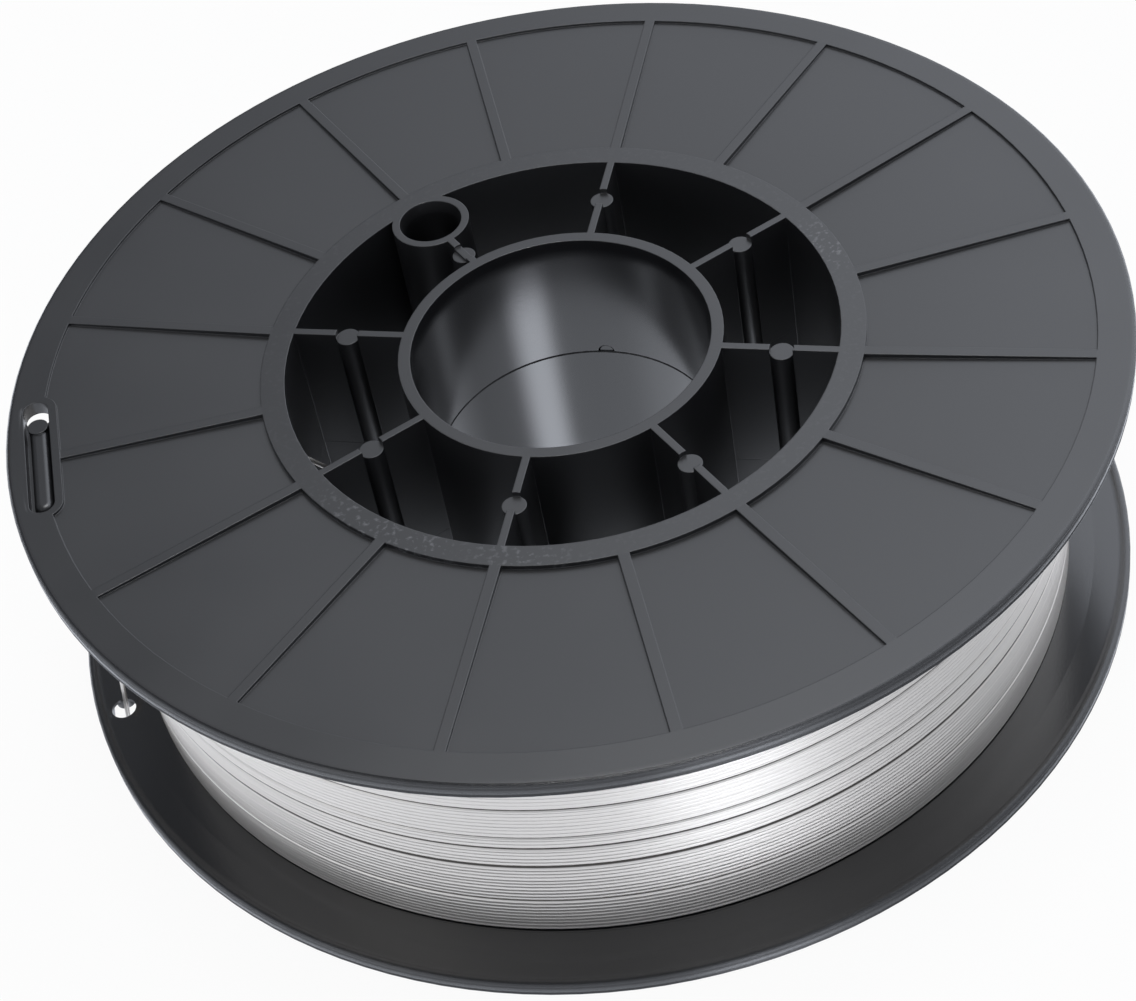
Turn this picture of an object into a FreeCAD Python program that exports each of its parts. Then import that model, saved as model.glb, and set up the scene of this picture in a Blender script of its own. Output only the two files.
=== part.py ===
import FreeCAD, Part
import Sketcher
import math
import os

# Plastic spool of MIG welding wire, 200 mm class, about 5 kg of wire.
# Units are millimetres. The spool axis is Z and the spool lies on its lower flange, at z = 0.
# The two clip slots of the flanges lie on the -X side.

doc = FreeCAD.newDocument("WireSpool")

# Driving dimensions
sheet = doc.addObject("Spreadsheet::Sheet", "Sizes")
driving = [
    ("flange_diameter", "200", "outside of both flanges"),
    ("hub_width", "55", "spool width over the hub rings"),
    ("rim_rise", "1.0", "how far the wound flange stands out at its rim"),
    ("rim_thickness", "3.1", "edge height of a flange"),
    ("rim_band_width", "6.5", "raised band at the rim"),
    ("hub_panel_depth", "0.9", "panels between the ribs, below the hub ring"),
    ("rim_panel_depth", "0.5", "the same panels, below the rim band"),
    ("lip_height", "0.4", "bead at the rim on the wire side"),
    ("lip_width", "1.3", "radial width of that bead"),
    ("groove_depth", "0.4", "fine groove round the edge"),
    ("groove_width", "0.6", "width of that groove"),
    ("groove_offset", "0.5", "groove to the nearer face"),
    ("barrel_diameter", "105.5", "the wire is wound on this"),
    ("barrel_wall", "3.0", "barrel wall"),
    ("hub_ring_lip", "1.45", "ring round the hub, outside the barrel"),
    ("bore_diameter", "53", "spindle bore"),
    ("bore_tube_wall", "2.7", "wall of the bore tube"),
    ("bore_lead_width", "0.5", "steep lead-in at the bore's mouth, radial"),
    ("bore_lead_depth", "3.0", "how far that lead-in goes down"),
    ("bore_seam", "0.2", "chamfer of the bore at the joint"),
    ("web_count", "8", "webs between barrel and bore tube"),
    ("web_thickness", "1.4", "thickness of one web"),
    ("rib_count", "16", "ribs on the outer face of a flange"),
    ("rib_width", "2.0", "width of one rib"),
    ("boss_diameter", "4.3", "round boss on a web"),
    ("boss_inset", "10.05", "boss centre to the barrel bore"),
    ("boss_recess", "1.0", "boss face below the web edge"),
    ("drive_hole_diameter", "11", "hole for the brake hub's driving pin"),
    ("drive_lead_width", "0.4", "steep lead-in of that hole, radial"),
    ("drive_lead_depth", "2.5", "how far that lead-in goes down"),
    ("drive_tube_diameter", "14.7", "outside of the tube round that hole"),
    ("drive_inset", "5.25", "driving hole to the barrel bore, so 44.5 from the spool axis"),
    ("short_boss_offset", "3.55", "boss of the short web to the bore tube"),
    ("short_boss_recess", "0.5", "its face below the web edge"),
    ("pin_diameter", "2.4", "locating pin of the joint"),
    ("pin_length", "3.0", "pin past the joint face"),
    ("pin_clearance", "0.1", "radial play of a pin in its socket"),
    ("socket_extra_depth", "0.4", "socket deeper than its pin"),
    ("key_radius", "1.3", "half-round key at the bore seam"),
    ("key_clearance", "0.3", "key to notch"),
    ("slot_length", "28.6", "wire clip slot, along the rim"),
    ("slot_width", "4.6", "wire clip slot, radial"),
    ("slot_inset", "5.9", "slot centre line to the rim"),
    ("slot_shift", "0.7", "slot's middle to the X axis, toward its open end"),
    ("slot_depth", "2.0", "slot below the rim face"),
    ("slot_margin", "1.5", "flat land round the slot"),
    ("bar_width", "3.5", "rounded clip bar in the slot"),
    ("bar_side_gap", "0.7", "bar to the slot wall on the rim side"),
    ("bar_end_gap", "1.2", "bar to the closed end of the slot"),
    ("bar_recess", "0.6", "bar top below the rim face"),
    ("bar_round", "1.2", "rounding of the bar's top"),
    ("post_diameter", "3.7", "round post that ends the bar at the wire hole"),
    ("post_recess", "0.3", "post top below the rim face"),
    ("post_overlap", "0.3", "post over the edge of the wire hole"),
    ("start_hole_diameter", "2.0", "hole where the wire starts"),
    ("start_hole_side", "7.6", "hole to the XZ plane"),
    ("start_hole_depth", "5.8", "hole below the hub ring"),
    ("wire_diameter", "0.9", "welding wire"),
    ("winding_depth", "11.1", "wound wire below the rim"),
    ("winding_clearance", "0.1", "winding to plastic"),
    ("winding_corner", "1.2", "chamfer at the four corners of the winding"),
    ("root_bevel", "0.8", "barrel to flange on the wire side"),
    ("edge_bevel", "0.4", "outer edges of the rim"),
    ("tail_height", "12", "height where the outer wire end leaves the winding"),
    ("tail_gap", "2.8", "where it enters the wire hole, from the slot's end"),
    ("tail_side", "0.5", "outer wire end to the slot's centre line, toward the hub"),
    ("tail_rise", "5.4", "its bend above the flange"),
    ("tail_lean", "2.6", "from its bend to the wire hole, along the rim"),
    ("tail_dip", "2.1", "its tip below the flange's wire side"),
    ("tail_dip_run", "1.1", "its tip past the point where it enters"),
    ("wire_bend", "1.5", "bend radius of both wire ends"),
    ("start_hole_run", "12", "length of the cut that makes this hole"),
    ("start_inset", "0.6", "bend of the inner wire end, past the barrel bore"),
    ("start_length", "4.65", "its tip, past the barrel bore"),
    ("start_drop", "4.6", "its tip below the hole"),
]

# Values worked out from them
derived = [
    ("flange_radius", "=flange_diameter / 2"),
    ("half_hub", "=hub_width / 2"),
    ("rim_face", "=half_hub + rim_rise"),
    ("rim_lip_face", "=rim_face - rim_thickness"),
    ("flange_inside_rim", "=rim_lip_face + lip_height"),
    ("flange_inside_hub", "=half_hub - rim_thickness + lip_height"),
    ("panel_at_rim", "=rim_face - rim_panel_depth"),
    ("panel_at_hub", "=half_hub - hub_panel_depth"),
    ("rim_band_radius", "=flange_radius - rim_band_width"),
    ("lip_radius", "=flange_radius - lip_width"),
    ("groove_floor_radius", "=flange_radius - groove_depth"),
    ("edge_radius", "=flange_radius - edge_bevel"),
    ("low_edge_end", "=rim_lip_face + edge_bevel"),
    ("top_edge_start", "=rim_face - edge_bevel"),
    ("low_groove_start", "=rim_lip_face + groove_offset"),
    ("low_groove_middle", "=low_groove_start + groove_width / 2"),
    ("low_groove_end", "=low_groove_start + groove_width"),
    ("top_groove_end", "=rim_face - groove_offset"),
    ("top_groove_middle", "=top_groove_end - groove_width / 2"),
    ("top_groove_start", "=top_groove_end - groove_width"),
    ("barrel_radius", "=barrel_diameter / 2"),
    ("barrel_bore_radius", "=barrel_radius - barrel_wall"),
    ("root_radius", "=barrel_radius + root_bevel"),
    ("root_face", "=flange_inside_hub - root_bevel"),
    ("hub_ring_radius", "=barrel_radius + hub_ring_lip"),
    ("bore_radius", "=bore_diameter / 2"),
    ("bore_tube_radius", "=bore_radius + bore_tube_wall"),
    ("bore_mouth_radius", "=bore_radius + bore_lead_width"),
    ("bore_lead_start", "=half_hub - bore_lead_depth"),
    ("bore_seam_radius", "=bore_radius + bore_seam"),
    ("web_pitch", "=360 / web_count"),
    ("first_web_angle", "=web_pitch / 2"),
    ("key_angle", "=first_web_angle + web_pitch"),
    ("drive_angle", "=first_web_angle + 2 * web_pitch"),
    ("drive_distance", "=barrel_bore_radius - drive_inset"),
    ("drive_boss_radius", "=bore_tube_radius + short_boss_offset"),
    ("boss_circle_radius", "=barrel_bore_radius - boss_inset"),
    ("joint_face", "0"),
    ("web_start", "=(bore_radius + bore_tube_radius) / 2"),
    ("web_end", "=(barrel_bore_radius + barrel_radius) / 2"),
    ("rib_start", "=hub_ring_radius - 0.5"),
    ("rib_end", "=rim_band_radius + 0.5"),
    ("rib_foot_start", "=panel_at_hub - 0.5"),
    ("rib_foot_end", "=panel_at_rim - 0.5"),
    ("boss_height", "=half_hub - boss_recess"),
    ("drive_x", "=drive_distance * cos(drive_angle)"),
    ("drive_y", "=drive_distance * sin(drive_angle)"),
    ("drive_boss_x", "=drive_boss_radius * cos(drive_angle)"),
    ("drive_boss_y", "=drive_boss_radius * sin(drive_angle)"),
    ("pin_x_near", "=boss_circle_radius * cos(first_web_angle)"),
    ("pin_y_near", "=boss_circle_radius * sin(first_web_angle)"),
    ("pin_x_side", "=boss_circle_radius * cos(key_angle)"),
    ("pin_y_side", "=boss_circle_radius * sin(key_angle)"),
    ("pin_x_far", "=boss_circle_radius * cos(drive_angle + web_pitch)"),
    ("pin_y_far", "=boss_circle_radius * sin(drive_angle + web_pitch)"),
    ("start_hole_height", "=half_hub - start_hole_depth"),
    ("start_hole_from", "=barrel_radius - start_hole_run / 2"),
    ("key_diameter", "=2 * key_radius"),
    ("notch_diameter", "=2 * (key_radius + key_clearance)"),
    ("bore_wall", "=bore_tube_radius - bore_radius"),
    ("key_from", "=bore_radius + key_clearance"),
    ("key_run", "=bore_wall - 2 * key_clearance"),
    ("notch_from", "=bore_radius - 1"),
    ("notch_run", "=bore_wall + 1"),
    ("socket_diameter", "=pin_diameter + 2 * pin_clearance"),
    ("socket_depth", "=pin_length + socket_extra_depth"),
    ("slot_distance", "=flange_radius - slot_inset"),
    ("slot_end_radius", "=slot_width / 2"),
    ("slot_open_end", "=slot_length / 2 + slot_shift"),
    ("slot_closed_end", "=slot_shift - slot_length / 2"),
    ("slot_far", "=slot_open_end - slot_end_radius"),
    ("slot_near", "=slot_closed_end + slot_end_radius"),
    ("land_radius", "=slot_end_radius + slot_margin"),
    ("land_depth", "=rim_panel_depth + 0.4"),
    ("bar_radius", "=bar_width / 2"),
    ("bar_distance", "=slot_distance + slot_end_radius - bar_side_gap - bar_radius"),
    ("bar_near", "=slot_closed_end + bar_end_gap + bar_radius"),
    ("bar_top", "=rim_face - bar_recess"),
    ("bar_height", "=slot_depth - bar_recess + 0.3"),
    ("post_place", "=slot_open_end - slot_width + post_overlap - post_diameter / 2"),
    ("post_top", "=rim_face - post_recess"),
    ("post_height", "=slot_depth - post_recess + 0.5"),
    ("winding_radius", "=flange_radius - winding_depth"),
    ("winding_bore_radius", "=barrel_radius + winding_clearance"),
    ("flange_slope", "=rim_rise / (rim_band_radius - barrel_radius)"),
    ("winding_end_in", "=flange_inside_hub - winding_clearance"),
    ("winding_end_out", "=winding_end_in + (winding_radius - barrel_radius) * flange_slope"),
    ("winding_corner_in_z", "=winding_end_in - winding_corner"),
    ("winding_corner_in_r", "=winding_bore_radius + winding_corner"),
    ("winding_corner_out_z", "=winding_end_out - wire_diameter / 2"),
    ("winding_corner_out_r", "=winding_radius - wire_diameter / 2"),
    ("tail_target", "=slot_open_end - tail_gap"),
    ("tail_distance", "=slot_distance - tail_side"),
    ("tail_radius", "=winding_radius - 0.15"),
    ("tail_hole_distance", "=sqrt(tail_distance ^ 2 + tail_target ^ 2)"),
    ("tail_length", "=sqrt(tail_hole_distance ^ 2 - tail_radius ^ 2)"),
    ("tail_turn", "=atan(tail_target / tail_distance) - atan(tail_length / tail_radius)"),
    ("tail_angle", "=180 + tail_turn / (1 deg)"),
    ("tail_from", "-2"),
    ("tail_start_z", "=tail_height - rim_face"),
    ("tail_corner", "=tail_length - tail_lean"),
    ("tail_corner_z", "=tail_rise - flange_inside_rim"),
    ("tail_to", "=tail_length + tail_dip_run"),
    ("tail_end_z", "=-(flange_inside_rim + tail_dip)"),
    ("start_from", "=-(winding_bore_radius + 2)"),
    ("start_corner", "=-(barrel_bore_radius - start_inset)"),
    ("start_to", "=-(barrel_bore_radius - start_length)"),
    ("start_tip_z", "=start_hole_height - start_drop"),
    ("winding_low_end_in", "=-winding_end_in"),
    ("winding_low_end_out", "=-winding_end_out"),
    ("winding_low_corner_in_z", "=-winding_corner_in_z"),
    ("winding_low_corner_out_z", "=-winding_corner_out_z"),
]

row = 1
for name, value, note in driving:
    sheet.set("A%d" % row, name)
    sheet.set("B%d" % row, value)
    sheet.set("C%d" % row, note)
    sheet.setAlias("B%d" % row, name)
    row += 1
for name, formula in derived:
    sheet.set("A%d" % row, name)
    sheet.set("B%d" % row, formula)
    sheet.setAlias("B%d" % row, name)
    row += 1
doc.recompute()


def size(name):
    """The number that a cell of the sheet holds."""
    return float(sheet.get(name))


def new_body(name, label):
    body = doc.addObject("PartDesign::Body", name)
    body.Label = label
    return body


def origin_part(body, role):
    """One of the planes or axes that every body has."""
    for feature in body.Origin.OriginFeatures:
        if feature.Role == role:
            return feature
    raise RuntimeError("no origin part " + role)


def new_sketch(body, name, role, lift=None):
    """A sketch on one of the body's own planes, lifted off it by a named distance."""
    sketch = body.newObject("Sketcher::SketchObject", name)
    sketch.AttachmentSupport = [(origin_part(body, role), "")]
    sketch.MapMode = "FlatFace"
    if lift:
        sketch.setExpression(".AttachmentOffset.Base.z", "Sizes." + lift)
    return sketch


def face_outward(sketch, azimuth, distance, sign=1):
    """Turn an upright sketch to an azimuth and move it out from the spool axis."""
    # An upright sketch faces -Y, so it faces outward once turned by its azimuth plus 90.
    turn = sign * size(azimuth) + 90
    reach = size(distance)
    base = FreeCAD.Vector(
        reach * math.sin(math.radians(turn)), 0, reach * math.cos(math.radians(turn)))
    rotation = FreeCAD.Rotation(FreeCAD.Vector(0, 1, 0), turn)
    sketch.AttachmentOffset = FreeCAD.Placement(base, rotation)
    formula = "%d * Sizes.%s + 90" % (sign, azimuth)
    sketch.setExpression(".AttachmentOffset.Rotation.Angle", formula)
    sketch.setExpression(
        ".AttachmentOffset.Base.x", "Sizes.%s * sin(%s)" % (distance, formula))
    sketch.setExpression(
        ".AttachmentOffset.Base.z", "Sizes.%s * cos(%s)" % (distance, formula))


def set_distance(sketch, kind, geometry, point, value_name, sign=1):
    """Hold one coordinate of a point at the value of a cell."""
    value = sign * size(value_name)
    index = sketch.addConstraint(Sketcher.Constraint(kind, -1, 1, geometry, point, value))
    expression = "Sizes." + value_name if sign > 0 else "-Sizes." + value_name
    sketch.setExpression("Constraints[%d]" % index, expression)


def outline(sketch, corners):
    """Closed polygon through corners given as pairs of cell names."""
    points = [FreeCAD.Vector(size(a), size(b), 0) for a, b in corners]
    count = len(points)
    for i in range(count):
        sketch.addGeometry(Part.LineSegment(points[i], points[(i + 1) % count]), False)
    for i in range(count):
        sketch.addConstraint(Sketcher.Constraint("Coincident", i, 2, (i + 1) % count, 1))
    for i, (a, b) in enumerate(corners):
        set_distance(sketch, "DistanceX", i, 1, a)
        set_distance(sketch, "DistanceY", i, 1, b)


def round_outline(sketch, centre_x, centre_y, diameter, sign_x=1, sign_y=1):
    """A circle with its centre and diameter bound to cells. Centre cells may be None for zero."""
    x = sign_x * size(centre_x) if centre_x else 0.0
    y = sign_y * size(centre_y) if centre_y else 0.0
    circle = Part.Circle(FreeCAD.Vector(x, y, 0), FreeCAD.Vector(0, 0, 1), size(diameter) / 2)
    geometry = sketch.addGeometry(circle, False)
    if centre_x:
        set_distance(sketch, "DistanceX", geometry, 3, centre_x, sign_x)
    else:
        sketch.addConstraint(Sketcher.Constraint("DistanceX", -1, 1, geometry, 3, 0.0))
    if centre_y:
        set_distance(sketch, "DistanceY", geometry, 3, centre_y, sign_y)
    else:
        sketch.addConstraint(Sketcher.Constraint("DistanceY", -1, 1, geometry, 3, 0.0))
    index = sketch.addConstraint(Sketcher.Constraint("Diameter", geometry, size(diameter)))
    sketch.setExpression("Constraints[%d]" % index, "Sizes." + diameter)


def slot_outline(sketch, distance, far, near, radius):
    """A round-ended slot along Y, on the -X side. Far and near are the places of its end arcs."""
    x = -size(distance)
    top = size(far)
    low = size(near)
    end = size(radius)
    up = Part.Circle(FreeCAD.Vector(x, top, 0), FreeCAD.Vector(0, 0, 1), end)
    down = Part.Circle(FreeCAD.Vector(x, low, 0), FreeCAD.Vector(0, 0, 1), end)
    sketch.addGeometry(Part.ArcOfCircle(up, 0, math.pi), False)
    sketch.addGeometry(Part.ArcOfCircle(down, math.pi, 2 * math.pi), False)
    left_top = FreeCAD.Vector(x - end, top, 0)
    left_low = FreeCAD.Vector(x - end, low, 0)
    right_low = FreeCAD.Vector(x + end, low, 0)
    right_top = FreeCAD.Vector(x + end, top, 0)
    sketch.addGeometry(Part.LineSegment(left_top, left_low), False)
    sketch.addGeometry(Part.LineSegment(right_low, right_top), False)
    sketch.addConstraint(Sketcher.Constraint("Tangent", 0, 2, 2, 1))
    sketch.addConstraint(Sketcher.Constraint("Tangent", 2, 2, 1, 1))
    sketch.addConstraint(Sketcher.Constraint("Tangent", 1, 2, 3, 1))
    sketch.addConstraint(Sketcher.Constraint("Tangent", 3, 2, 0, 1))
    sketch.addConstraint(Sketcher.Constraint("Vertical", 2))
    index = sketch.addConstraint(Sketcher.Constraint("Radius", 0, end))
    sketch.setExpression("Constraints[%d]" % index, "Sizes." + radius)
    set_distance(sketch, "DistanceX", 0, 3, distance, -1)
    set_distance(sketch, "DistanceY", 0, 3, far)
    set_distance(sketch, "DistanceY", 1, 3, near)


def revolve(body, sketch, name):
    feature = body.newObject("PartDesign::Revolution", name)
    feature.Profile = sketch
    feature.ReferenceAxis = (sketch, ["V_Axis"])
    feature.Angle = 360
    body.Tip = feature
    return feature


def pad(body, sketch, name, length, reversed_side=False, middle=False):
    feature = body.newObject("PartDesign::Pad", name)
    feature.Profile = sketch
    feature.setExpression("Length", "Sizes." + length)
    feature.Reversed = reversed_side
    feature.Midplane = middle
    body.Tip = feature
    return feature


def pocket(body, sketch, name, length, reversed_side=False, middle=False):
    feature = body.newObject("PartDesign::Pocket", name)
    feature.Profile = sketch
    feature.setExpression("Length", "Sizes." + length)
    feature.Reversed = reversed_side
    feature.Midplane = middle
    body.Tip = feature
    return feature


def ring_of(body, originals, name, count, angle="360"):
    """Repeat features round the body's Z axis."""
    feature = body.newObject("PartDesign::PolarPattern", name)
    feature.Originals = originals
    feature.Axis = (origin_part(body, "Z_Axis"), [""])
    feature.setExpression("Angle", angle)
    feature.setExpression("Occurrences", count)
    body.Tip = feature
    return feature


def dress(body, kind, name, edges, field, value_name):
    """A chamfer or fillet on named edges of the body as it stands."""
    before = body.Tip
    feature = body.newObject(kind, name)
    feature.Base = (before, edges)
    feature.setExpression(field, "Sizes." + value_name)
    body.Tip = feature
    doc.recompute()
    return feature


def circle_edges(shape, radius, height, x=0.0, y=0.0, slack=0.02):
    """Names of the round edges with one radius and height about an upright axis."""
    found = []
    for number, edge in enumerate(shape.Edges):
        curve = edge.Curve
        if curve.TypeId != "Part::GeomCircle":
            continue
        if math.hypot(curve.Center.x - x, curve.Center.y - y) > slack:
            continue
        if abs(curve.Radius - radius) < slack and abs(curve.Center.z - height) < slack:
            found.append("Edge%d" % (number + 1))
    return found


def top_edges(shape, x, half_width, height, slack=0.02):
    """Names of the edges that lie at one height, in a strip along Y."""
    found = []
    for number, edge in enumerate(shape.Edges):
        box = edge.BoundBox
        level = abs(box.ZMin - height) < slack and abs(box.ZMax - height) < slack
        if level and max(box.XMax - x, x - box.XMin) < half_width + slack:
            found.append("Edge%d" % (number + 1))
    return found


# One moulded half
# The two halves of the spool are the same moulding. Each has a flange, half of the barrel, half
# of the bore tube, and the webs that tie them. Its joint face is the plane z = 0 here.
def moulded_half(name, label):
    body = new_body(name, label)

    # Flange and barrel are one turned section. The flange stands outward by rim_rise at its rim,
    # because the wire pushes on it. A fine groove runs round both edges of the rim, and the edges
    # are broken.
    section = new_sketch(body, name + "_section", "XZ_Plane")
    outline(section, [
        ("barrel_bore_radius", "joint_face"),
        ("barrel_radius", "joint_face"),
        ("barrel_radius", "root_face"),
        ("root_radius", "flange_inside_hub"),
        ("rim_band_radius", "flange_inside_rim"),
        ("lip_radius", "flange_inside_rim"),
        ("lip_radius", "rim_lip_face"),
        ("edge_radius", "rim_lip_face"),
        ("flange_radius", "low_edge_end"),
        ("flange_radius", "low_groove_start"),
        ("groove_floor_radius", "low_groove_middle"),
        ("flange_radius", "low_groove_end"),
        ("flange_radius", "top_groove_start"),
        ("groove_floor_radius", "top_groove_middle"),
        ("flange_radius", "top_groove_end"),
        ("flange_radius", "top_edge_start"),
        ("edge_radius", "rim_face"),
        ("rim_band_radius", "rim_face"),
        ("rim_band_radius", "panel_at_rim"),
        ("hub_ring_radius", "panel_at_hub"),
        ("hub_ring_radius", "half_hub"),
        ("barrel_bore_radius", "half_hub"),
    ])
    revolve(body, section, name + "_turned")
    doc.recompute()

    # Webs, then the bore tube that they carry. Its bore widens steeply at the mouth, and has a
    # small chamfer at the joint, which shows as a fine seam line.
    web_sketch = new_sketch(body, name + "_web_outline", "XZ_Plane")
    outline(web_sketch, [
        ("web_start", "joint_face"),
        ("web_end", "joint_face"),
        ("web_end", "half_hub"),
        ("web_start", "half_hub"),
    ])
    web_sketch.AttachmentOffset = FreeCAD.Placement(
        FreeCAD.Vector(0, 0, 0),
        FreeCAD.Rotation(FreeCAD.Vector(0, 1, 0), size("first_web_angle")))
    web_sketch.setExpression(
        ".AttachmentOffset.Rotation.Angle", "Sizes.first_web_angle")
    web = pad(body, web_sketch, name + "_web", "web_thickness", middle=True)
    doc.recompute()
    ring_of(body, [web], name + "_webs", "Sizes.web_count")
    doc.recompute()

    tube_sketch = new_sketch(body, name + "_bore_tube_section", "XZ_Plane")
    outline(tube_sketch, [
        ("bore_seam_radius", "joint_face"),
        ("bore_tube_radius", "joint_face"),
        ("bore_tube_radius", "half_hub"),
        ("bore_mouth_radius", "half_hub"),
        ("bore_radius", "bore_lead_start"),
        ("bore_radius", "bore_seam"),
    ])
    revolve(body, tube_sketch, name + "_bore_tube")
    doc.recompute()

    # Sixteen ribs, flush with the hub ring and with the rim band
    rib_sketch = new_sketch(body, name + "_rib_outline", "XZ_Plane")
    outline(rib_sketch, [
        ("rib_start", "rib_foot_start"),
        ("rib_end", "rib_foot_end"),
        ("rib_end", "rim_face"),
        ("rim_band_radius", "rim_face"),
        ("hub_ring_radius", "half_hub"),
        ("rib_start", "half_hub"),
    ])
    rib = pad(body, rib_sketch, name + "_rib", "rib_width", middle=True)
    doc.recompute()
    ring_of(body, [rib], name + "_ribs", "Sizes.rib_count")
    doc.recompute()

    # Bosses on seven webs, each with its face below the web edge
    boss_sketch = new_sketch(body, name + "_boss_outline", "XY_Plane")
    round_outline(boss_sketch, "pin_x_far", "pin_y_far", "boss_diameter")
    boss = pad(body, boss_sketch, name + "_boss", "boss_height")
    recess_sketch = new_sketch(body, name + "_recess_outline", "XY_Plane", "half_hub")
    round_outline(recess_sketch, "pin_x_far", "pin_y_far", "boss_diameter")
    recess = pocket(body, recess_sketch, name + "_recess", "boss_recess")
    doc.recompute()
    ring_of(body, [boss, recess], name + "_bosses", "Sizes.web_count - 1",
            "360 * (Sizes.web_count - 2) / Sizes.web_count")
    doc.recompute()

    # The eighth web is short: it ends at the tube of the driving hole, with its boss further in
    short_boss_sketch = new_sketch(body, name + "_short_boss_outline", "XY_Plane")
    round_outline(short_boss_sketch, "drive_boss_x", "drive_boss_y", "boss_diameter")
    pad(body, short_boss_sketch, name + "_short_boss", "boss_height")
    short_recess_sketch = new_sketch(body, name + "_short_recess_outline", "XY_Plane", "half_hub")
    round_outline(short_recess_sketch, "drive_boss_x", "drive_boss_y", "boss_diameter")
    pocket(body, short_recess_sketch, name + "_short_recess", "short_boss_recess")
    drive_sketch = new_sketch(body, name + "_drive_tube_outline", "XY_Plane")
    round_outline(drive_sketch, "drive_x", "drive_y", "drive_tube_diameter")
    pad(body, drive_sketch, name + "_drive_tube", "half_hub")
    hole_sketch = new_sketch(body, name + "_drive_hole_outline", "XY_Plane", "half_hub")
    round_outline(hole_sketch, "drive_x", "drive_y", "drive_hole_diameter")
    pocket(body, hole_sketch, name + "_drive_hole", "hub_width", middle=True)
    doc.recompute()

    # Clip slot: a flat land round a blind slot, and a hole through its open end for the wire
    land_sketch = new_sketch(body, name + "_land_outline", "XY_Plane", "rim_face")
    slot_outline(land_sketch, "slot_distance", "slot_far", "slot_near", "land_radius")
    pad(body, land_sketch, name + "_land", "land_depth", reversed_side=True)
    slot_sketch = new_sketch(body, name + "_slot_outline", "XY_Plane", "rim_face")
    slot_outline(slot_sketch, "slot_distance", "slot_far", "slot_near", "slot_end_radius")
    pocket(body, slot_sketch, name + "_slot", "slot_depth")
    wire_hole_sketch = new_sketch(body, name + "_wire_hole_outline", "XY_Plane", "rim_face")
    round_outline(wire_hole_sketch, "slot_distance", "slot_far", "slot_width", sign_x=-1)
    pocket(body, wire_hole_sketch, name + "_wire_hole", "rim_thickness")
    doc.recompute()

    # The bar that the wire is clipped under stands on the slot's floor, with a rounded top.
    # A round post ends it at the wire hole.
    bar_sketch = new_sketch(body, name + "_bar_outline", "XY_Plane", "bar_top")
    slot_outline(bar_sketch, "bar_distance", "post_place", "bar_near", "bar_radius")
    pad(body, bar_sketch, name + "_bar", "bar_height", reversed_side=True)
    doc.recompute()
    crown = top_edges(body.Shape, -size("bar_distance"), size("bar_radius"), size("bar_top"))
    dress(body, "PartDesign::Fillet", name + "_bar_round", crown, "Radius", "bar_round")
    post_sketch = new_sketch(body, name + "_post_outline", "XY_Plane", "post_top")
    round_outline(post_sketch, "bar_distance", "post_place", "post_diameter", sign_x=-1)
    pad(body, post_sketch, name + "_post", "post_height", reversed_side=True)
    doc.recompute()

    # Hole in the barrel where the wire starts
    start_sketch = new_sketch(body, name + "_start_hole_outline", "YZ_Plane")
    round_outline(start_sketch, "start_hole_side", "start_hole_height", "start_hole_diameter",
                  sign_x=-1)
    start_sketch.setExpression(".AttachmentOffset.Base.z", "-Sizes.start_hole_from")
    pocket(body, start_sketch, name + "_start_hole", "start_hole_run")
    doc.recompute()

    # Joint: three pins on one side of the X axis and three sockets on the other. Turning the
    # same moulding over about X brings each pin to a socket.
    pin_sketch = new_sketch(body, name + "_pin_outline", "XY_Plane")
    socket_sketch = new_sketch(body, name + "_socket_outline", "XY_Plane")
    for place in ("near", "side", "far"):
        round_outline(pin_sketch, "pin_x_" + place, "pin_y_" + place, "pin_diameter")
        round_outline(socket_sketch, "pin_x_" + place, "pin_y_" + place, "socket_diameter",
                      sign_y=-1)
    pad(body, pin_sketch, name + "_pins", "pin_length", reversed_side=True)
    pocket(body, socket_sketch, name + "_sockets", "socket_depth", reversed_side=True)
    doc.recompute()

    # Key at the bore seam: a half-round tab on one side, its notch on the other
    key_sketch = new_sketch(body, name + "_key_outline", "XZ_Plane")
    round_outline(key_sketch, None, None, "key_diameter")
    face_outward(key_sketch, "key_angle", "key_from", -1)
    pad(body, key_sketch, name + "_key", "key_run")
    notch_sketch = new_sketch(body, name + "_notch_outline", "XZ_Plane")
    round_outline(notch_sketch, None, None, "notch_diameter")
    face_outward(notch_sketch, "key_angle", "notch_from")
    pocket(body, notch_sketch, name + "_notch", "notch_run", reversed_side=True)
    doc.recompute()

    # Lead-in of the driving hole
    mouth = circle_edges(body.Shape, size("drive_hole_diameter") / 2, size("half_hub"),
                         size("drive_x"), size("drive_y"))
    lead_in = dress(body, "PartDesign::Chamfer", name + "_lead_in", mouth, "Size",
                    "drive_lead_width")
    lead_in.ChamferType = "Two distances"
    lead_in.setExpression("Size2", "Sizes.drive_lead_depth")
    doc.recompute()
    return body


# The two halves, placed on the common axis
# The lower one is the same moulding turned over about the X axis.
upper = moulded_half("UpperHalf", "upper_spool_half")
on_axis = FreeCAD.Vector(0, 0, size("rim_face"))
upper.Placement = FreeCAD.Placement(on_axis, FreeCAD.Rotation())
upper.setExpression(".Placement.Base.z", "Sizes.rim_face")
doc.recompute()
lower = new_body("LowerHalf", "lower_spool_half")
same = doc.addObject("PartDesign::FeatureBase", "LowerHalf_moulding")
same.BaseFeature = upper
lower.Group = [same]
lower.Tip = same
lower.Placement = FreeCAD.Placement(
    on_axis, FreeCAD.Rotation(FreeCAD.Vector(1, 0, 0), 180))
lower.setExpression(".Placement.Base.z", "Sizes.rim_face")
doc.recompute()

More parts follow.
